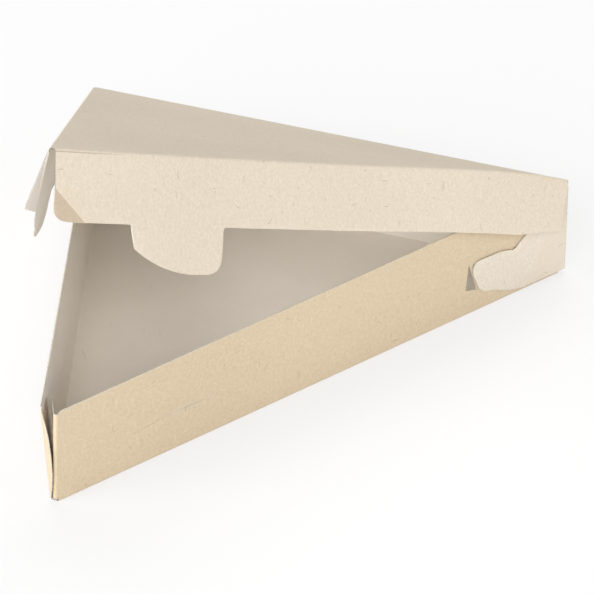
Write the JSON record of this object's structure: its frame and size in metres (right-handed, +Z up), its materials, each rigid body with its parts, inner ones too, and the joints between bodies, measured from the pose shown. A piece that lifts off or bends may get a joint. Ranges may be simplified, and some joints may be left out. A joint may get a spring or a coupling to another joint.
{
  "type": "pizza slice box",
  "caption": "Wedge-shaped folding box of kraft board for a slice of pizza, with a hinged lid standing partly open and tuck-in lock tabs.",
  "frame": {"origin": "centre of the triangular floor, on its underside, which rests on the table", "axes": "+Z up, +X towards the tip of the wedge, +Y towards the long wall that the lid is hinged on"},
  "size_m": [0.2082, 0.2183, 0.1334],
  "materials": {
    "tray_board": "matt brown kraft outside, pale grey-white coating inside",
    "lid_board": "matt brown kraft outside, pale grey-white coating inside"
  },
  "bodies": {
    "tray": {"tray": "tray_board"},
    "lid": {"lid": "lid_board"}
  },
  "joints": [
    {"name": "lid_hinge", "type": "hinge", "parent": "tray", "child": "lid", "pos_m": [0.04036, 0.05598, 0.04], "axis": [-0.8643, 0.503, 0], "range_deg": [-25.9, 154.1]}
  ]
}
